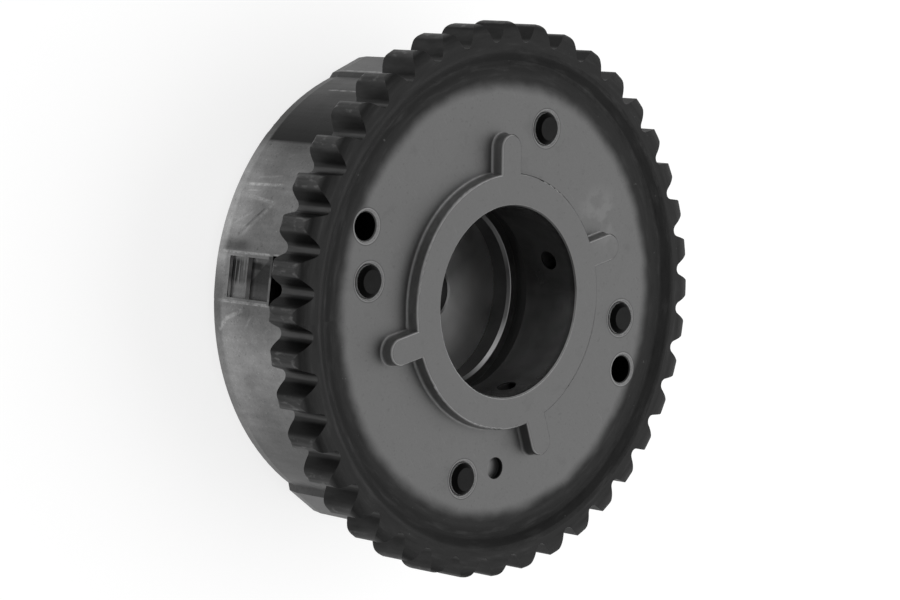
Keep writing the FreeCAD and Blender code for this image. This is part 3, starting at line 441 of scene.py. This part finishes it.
def scratches_and_edge_highlights(t):
    """Scratch marks on the housing's outside, and painted highlights on lit edges."""
    marks = (  # start, end, width, how much lighter
        # The lines at 107.2°, 116.5°, 166.2° and 178.2° are painted highlights on lit edges
        ((107.2, 5.5), (107.2, 24.5), 0.45, 0.14),
        ((116.5, 9.5), (116.5, 17.8), 0.35, 0.17),
        ((147.0, 9.0), (146.2, 15.0), 0.30, 0.05),
        ((149.0, 6.5), (148.6, 16.5), 0.45, 0.16),
        ((150.6, 7.5), (150.4, 11.0), 0.30, 0.08),
        ((152.0, 8.5), (153.4, 16.0), 0.55, 0.10),
        ((154.0, 15.5), (161.5, 9.8), 0.70, 0.07),
        ((154.8, 14.2), (162.0, 8.6), 0.45, -0.08),
        ((156.0, 11.0), (159.0, 7.0), 0.35, 0.06),
        ((166.2, 5.2), (166.0, 24.5), 0.35, 0.15),
        ((178.2, 5.2), (178.2, 24.5), 0.35, 0.15),
        ((180.0, 12.0), (182.5, 7.4), 0.60, 0.12),
        ((182.5, 7.4), (185.5, 5.4), 0.60, 0.12),
        ((181.0, 14.5), (184.6, 12.6), 0.40, 0.05),
    )
    ragged = t.blend(t.step(t.noise(0.9, 4, roughness=0.75), 0.32, 0.66), 0.10, 1.15)
    shine = 0.0
    for start, end, width, strength in marks:
        shine = t.plus(shine, t.times(t.stroke(start, end, width), strength))
    return t.times(shine, ragged)


def slot_stains_and_shade(t, slotted):
    """How dark the slot is: a painted shadow across the front pocket, with painted light towards the slot's
    sides and near the pocket's lower end, a dark blot, darker streaks in the rear pocket, oil at the front
    pocket's upper end, and painted shade in the deep notch between them and the rim.
    """
    front = t.times(slotted, t.below(t.radius, FRONT_POCKET + 0.4, FRONT_POCKET + 0.7))
    # Painted shadow: a diagonal across the front pocket floor
    slant = t.minus(t.times(t.minus(t.degrees, 168.2), MM_PER_DEGREE), t.minus(15.3, t.z))
    blot = t.times(t.within(t.degrees, 168.0, 169.8, 0.8), t.within(t.z, 11.4, 14.4, 1.2))
    # Painted light towards both sides of the slot, and near the pocket's lower end (z below 12.2)
    across = t.ramp(t.degrees, [(166, 2.2), (167.8, 1.8), (168.6, 1.0), (173, 1.0), (175, 1.9), (178, 2.8)])
    front_pocket_light_and_shadow = t.times(t.blend(t.step(slant, -0.3, 0.3), 0.42, 0.24), t.less(blot, 0.55),
                    t.blend(t.step(t.z, 12.2, 13.4), 1.9, 1.0), across)
    rear = t.times(slotted, t.within(t.radius, REAR_POCKET - 0.3, REAR_POCKET + 0.6, 0.2))
    # Darker streaks in the rear pocket
    dark_streaks = t.times(t.within(t.degrees, 167.6, 173.6, 1.6), t.step(t.streaks(4.0, 1.8, 2), 0.34, 0.56),
                   t.blend(t.step(t.z, 9.0, 10.6), 1.0, 0.55))
    oily = t.times(slotted, t.step(t.z, 17.7, 18.1), t.below(t.degrees, 171.0, 172.0))
    # Painted shade: the deep notch is made near black
    notch = t.times(slotted, t.below(t.radius, FRONT_POCKET - 0.6, FRONT_POCKET - 0.3))
    return t.times(t.blend(front, 1.0, front_pocket_light_and_shadow), t.blend(rear, 1.0, t.blend(dark_streaks, 0.95, 0.16)),
                   t.blend(oily, 1.0, 0.40), t.blend(notch, 1.0, 0.12))


def housing_metal():
    """Pressed steel with stains, streaks and scratch marks round its outside, with painted light and shade,
    a painted reflection band, a painted shadow and painted highlights on lit edges.
    """
    t = Tree("housing_metal")
    patches = t.noise(0.22, 5, roughness=0.62)
    streaks = t.streaks(30.0, 0.12, 4)
    grain = t.noise(1.6, 4, roughness=0.65)
    pits = t.step(t.noise(1.1, 3, roughness=0.7), 0.62, 0.70)
    slanted = t.vector(t.plus(t.times(t.turn, 60.0), t.times(t.z, 1.1)), z=t.times(t.z, 0.25))
    flecks = t.step(t.noise(1.0, 2, slanted), 0.66, 0.76)
    bands = t.blend(t.streaks(55.0, 0.05, 4), 0.35, 1.7)
    crackle = t.noise(2.4, 3, roughness=0.7)
    uneven = t.plus(t.blend(patches, 0.60, 1.36), t.blend(streaks, -0.25, 0.25),
                    t.blend(grain, -0.20, 0.20))
    shade = t.plus(t.times(uneven, t.less(pits, 0.30)), t.times(flecks, 0.35))
    # Painted reflection: streaky dark bands from 109° to 137°
    shade = t.times(shade, t.blend(t.within(t.degrees, 109.0, 137.0, 3.0), 1.0, bands))
    shade = t.plus(shade, t.times(t.step(crackle, 0.60, 0.72), 0.45),
                   t.times(t.below(crackle, 0.30, 0.40), -0.30))
    smudge = t.times(t.within(t.degrees, 163.0, 166.0, 2.4), t.within(t.z, 5.5, 12.0, 4.0))
    # Painted shadow below the lit edge at 116.5°
    painted_shadow = t.times(t.within(t.degrees, 117.2, 119.4, 1.6), t.within(t.z, 11.0, 18.5, 4.0))
    slotted = t.within(t.degrees, SLOT_START, SLOT_END, 0.2)
    shade = t.times(shade, t.less(smudge, 0.55), t.less(painted_shadow, 0.35), slot_stains_and_shade(t, slotted))
    colour = t.math("MAXIMUM", t.plus(t.times(housing_tone(t), shade), scratches_and_edge_highlights(t)), 0.003)
    # Ledges at the pockets' lower ends, made non-metal and lightened as painted light, more so towards 178°
    ledge = t.times(slotted, t.within(t.radius, FRONT_POCKET - 0.2, REAR_POCKET + 0.7, 0.1),
                    t.step(t.facing_up, 0.5, 0.9), t.below(t.z, 15.0, 16.0))
    along_ledge = t.ramp(t.degrees, [(166, 0.9), (169, 1.2), (172, 0.6), (175, 2.0), (178, 2.4)])
    ledge_tone = t.times(t.blend(patches, 0.5, 1.5), t.blend(t.step(t.z, 9.0, 10.0), 0.25, 0.26),
                         along_ledge)
    colour = t.mix(ledge, colour, ledge_tone)
    height = t.plus(t.times(grain, 0.5), t.times(pits, -0.5), t.times(streaks, 0.3))
    rough = t.blend(patches, 0.30, 0.50)
    return t.finish(colour, rough, t.bump(height, 0.30, 0.05), t.blend(ledge, 1.0, 0.15))


# Rotor
def rotor_metal():
    """Turned steel, with painted light on its upward faces, painted shade on the walls and relief groove of
    its socket, and a painted highlight on the spigot's lip.
    """
    t = Tree("rotor_metal")
    clouds = t.noise(0.16, 4)
    blotches = t.step(t.noise(0.10, 3), 0.42, 0.62)
    grain = t.noise(2.2, 2)
    rings = t.rings()
    floor = t.mix(clouds, grey(0.22), grey(0.34))
    # Painted light: the floor is lightened outwards and by azimuth
    floor = t.mix(t.step(t.radius, 5.5, 14.0), floor, grey(0.62))
    floor = t.mix(t.times(blotches, 0.35), floor, grey(0.16))
    floor = t.mix(t.times(rings, 0.25), floor, grey(0.16))
    floor = t.tint(floor, t.ramp(t.degrees, [(0, 1.2), (30, 0.65), (90, 0.7), (250, 0.8), (285, 1.0),
                                             (310, 1.5), (330, 1.7), (360, 1.2)]))
    # Painted shade: the socket's walls are dark
    wall = t.mix(clouds, grey(0.02), grey(0.06))
    up = t.step(t.facing_up, 0.35, 0.65)
    inside = t.below(t.radius, HUB_RADIUS - 1.0, HUB_RADIUS - 0.5)
    colour = t.mix(t.times(t.flip(up), inside), floor, wall)
    # Painted shade in the relief groove
    relief = t.times(t.within(t.radius, JOURNAL_RADIUS - 0.1, JOURNAL_RADIUS + 1.6, 0.1), inside)
    colour = t.mix(t.times(relief, 0.55), colour, grey(0.03))
    # The spigot's lip, with a painted highlight that is brightest on the socket's low side (-y)
    lip = t.times(t.within(t.radius, JOURNAL_RADIUS - 1.4, JOURNAL_RADIUS - 0.1, 0.1), up,
                  t.step(t.z, SOCKET_FLOOR + 1.7, SOCKET_FLOOR + 2.7))
    catch = t.ramp(t.y, [(-18, 0.35), (-13, 0.8), (-10, 0.5), (-6, 0.14), (3, 0.05), (12, 0.18), (18, 0.3)])
    colour = t.mix(lip, colour, catch)
    height = t.plus(t.times(grain, 0.3), t.times(rings, 0.7))
    return t.finish(colour, t.blend(clouds, 0.26, 0.40), t.bump(height, 0.25, 0.02))


# Cover, pins, springs, bolts and seals
def turned_metal(name, low, high, rough_low=0.28, rough_high=0.42):
    """Turned metal with fine rings."""
    t = Tree(name)
    clouds = t.noise(0.12, 4)
    grain = t.noise(2.2, 2)
    rings = t.rings()
    colour = t.mix(clouds, grey(low), grey(high))
    colour = t.mix(t.times(rings, 0.3), colour, grey(low * 0.7))
    height = t.plus(t.times(grain, 0.3), t.times(rings, 0.7))
    return t.finish(colour, t.blend(clouds, rough_low, rough_high), t.bump(height, 0.25, 0.02))


def bolt_steel():
    """Blackened screws: a dull end face, a black point with a painted highlight ring below it, and dark
    heads.
    """
    t = Tree("bolt_steel")
    clouds = t.noise(0.4, 3)
    grain = t.noise(3.0, 3)
    end = t.mix(clouds, grey(0.006), grey(0.013))
    end = t.mix(t.times(grain, 0.4), end, grey(0.004))
    side = t.mix(clouds, grey(0.003), grey(0.008))
    head = t.mix(clouds, grey(0.03), grey(0.055))
    colour = t.mix(t.step(t.facing_up, 0.80, 0.98), side, end)
    # Painted highlight: a near-white ring on the bolt's side just below the face
    worn_patch_and_rim_highlight = t.times(t.below(t.facing_up, 0.2, 0.5), t.step(t.z, DISH_FACE - 1.1, DISH_FACE - 0.9),
                     t.below(t.z, DISH_FACE - 0.15, DISH_FACE + 0.05))
    colour = t.mix(worn_patch_and_rim_highlight, colour, grey(0.95))
    colour = t.mix(t.step(t.z, BOLT_HEAD_TOP + 0.1, BOLT_HEAD_TOP + 0.4), head, colour)
    return t.finish(colour, t.blend(grain, 0.40, 0.60), t.bump(grain, 0.4, 0.03))


def seal_plastic():
    """Black moulded strips."""
    t = Tree("seal_plastic")
    grain = t.noise(2.5, 2)
    colour = t.mix(grain, grey(0.012), grey(0.024))
    return t.finish(colour, t.blend(grain, 0.45, 0.6), t.bump(grain, 0.3, 0.02), 0.0)


finishes = {
    "sprocket_steel": sprocket_steel(),
    "housing_metal": housing_metal(),
    "cover_metal": turned_metal("cover_metal", 0.14, 0.20),
    "rotor_metal": rotor_metal(),
    "pin_steel": turned_metal("pin_steel", 0.10, 0.16, 0.2, 0.3),
    "spring_steel": turned_metal("spring_steel", 0.12, 0.18, 0.25, 0.35),
    "bolt_steel": bolt_steel(),
    "seal_plastic": seal_plastic(),
}
for entry in frame["record"]["subparts"]:
    mesh = nodes[entry["node"]].data
    mesh.materials.clear()
    mesh.materials.append(finishes[entry["material_slot"]])


# The lock pin's spring, from the CAD, copied onto the rotor in place of the CAD node
coil = bpy.data.objects.new("lock_pin_coil", nodes["lock_pin_spring"].data.copy())
bpy.context.scene.collection.objects.link(coil)
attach(coil, "rotor")
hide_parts("lock_pin_spring")
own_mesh(coil)


# Floor and world, in metres
FLOOR_SIZE = 8
FLOOR_TONE = 0.3
FLOOR_ROUGHNESS = 0.9
FLOOR_GLOW = 0.78
WORLD_LEVEL = 0.5


def pale_floor():
    """A white table whose shadow is filled by light from around."""
    material = bpy.data.materials.new("pale_floor")
    material.use_nodes = True
    shader = material.node_tree.nodes["Principled BSDF"]
    shader.inputs["Base Color"].default_value = grey(FLOOR_TONE)
    shader.inputs["Roughness"].default_value = FLOOR_ROUGHNESS
    shader.inputs["Specular IOR Level"].default_value = 0.0
    shader.inputs["Emission Color"].default_value = grey(1.0)
    shader.inputs["Emission Strength"].default_value = FLOOR_GLOW
    return material


bpy.ops.mesh.primitive_plane_add(size=FLOOR_SIZE, location=(0, 0, 0))
floor = bpy.context.object
floor.name = "floor"
floor.data.materials.append(pale_floor())

world = bpy.data.worlds.new("studio")
bpy.context.scene.world = world
world.use_nodes = True
backdrop = world.node_tree.nodes["Background"].inputs
backdrop["Color"].default_value = grey(1.0)
backdrop["Strength"].default_value = WORLD_LEVEL


# One large soft light, where level faces mirror it to the camera, in metres and watts
LIGHT_WAY = Vector((0.697, -0.121, 0.707))
LIGHT_AIM = Vector((0, 0, 0.020))
LIGHT_DISTANCE = 0.9
LIGHT_SIZE = 1.4
LIGHT_POWER = 6.8

light_data = bpy.data.lights.new("soft_light", "AREA")
light_data.shape = "DISK"
light_data.size = LIGHT_SIZE
light_data.energy = LIGHT_POWER
light = bpy.data.objects.new("soft_light", light_data)
bpy.context.scene.collection.objects.link(light)
light.location = LIGHT_AIM + LIGHT_WAY.normalized() * LIGHT_DISTANCE
light.rotation_euler = LIGHT_WAY.to_track_quat("Z", "Y").to_euler()


# The camera, where the photo's was: its tilt in radians, and where it sees the rim's front face
SENSOR_WIDTH = 36
LENS = 132.604
TILT_X = 0.1217
TILT_Y = 0.7783
FACE_CENTRE = Vector((0, 0, 36.5)) * MM
FACE_CENTRE_SEEN = Vector((10.295, -0.271, -620.969)) * MM
NEAR_CLIP = 0.01

camera_data = bpy.data.cameras.new("camera")
camera_data.sensor_width = SENSOR_WIDTH
camera_data.lens = LENS
camera_data.clip_start = NEAR_CLIP
camera = bpy.data.objects.new("camera", camera_data)
bpy.context.scene.collection.objects.link(camera)
back = (Matrix.Rotation(TILT_X, 3, "X") @ Matrix.Rotation(TILT_Y, 3, "Y")).transposed()
camera.matrix_world = Matrix.Translation(FACE_CENTRE - back @ FACE_CENTRE_SEEN) @ back.to_4x4()
bpy.context.scene.camera = camera
bpy.context.scene.view_settings.view_transform = "Standard"

bpy.context.view_layer.update()
